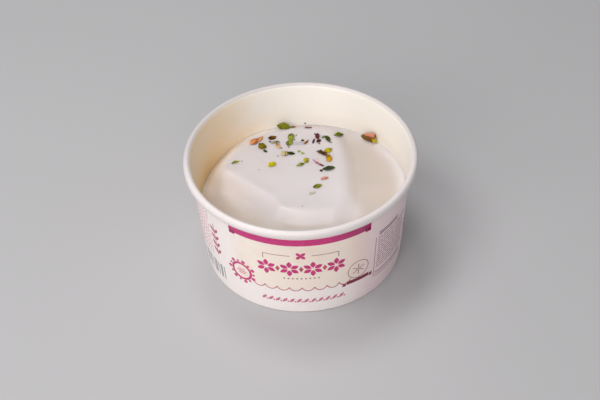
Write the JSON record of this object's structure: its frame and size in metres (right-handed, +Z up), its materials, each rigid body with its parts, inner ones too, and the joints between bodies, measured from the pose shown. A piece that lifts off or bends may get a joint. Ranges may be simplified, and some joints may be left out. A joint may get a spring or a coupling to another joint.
{
  "type": "ice cream carton",
  "caption": "Low round paper tub with a rolled rim and a recessed base, filled with plain ice cream under a scatter of chopped nuts and petals.",
  "frame": {"origin": "middle of the ring that the tub stands on, at the height of the surface under it", "axes": "+Z up along the tub's axis, -Y toward the printed front, +X to the right as seen from the front"},
  "size_m": [0.096, 0.096, 0.0505],
  "materials": {
    "coated_board": "satin coated board, printed outside in soft cream with rose and magenta",
    "base_board": "satin coated board, unprinted",
    "plain_ice_cream": "smooth, softly shining, slightly translucent",
    "chopped_toppings": "dry chopped nuts, leaves and petals",
    "print_ink": "flat printed ink on the board"
  },
  "bodies": {
    "root": {"cup_wall": "coated_board", "cup_base": "base_board", "ice_cream": "plain_ice_cream"}
  },
  "joints": []
}
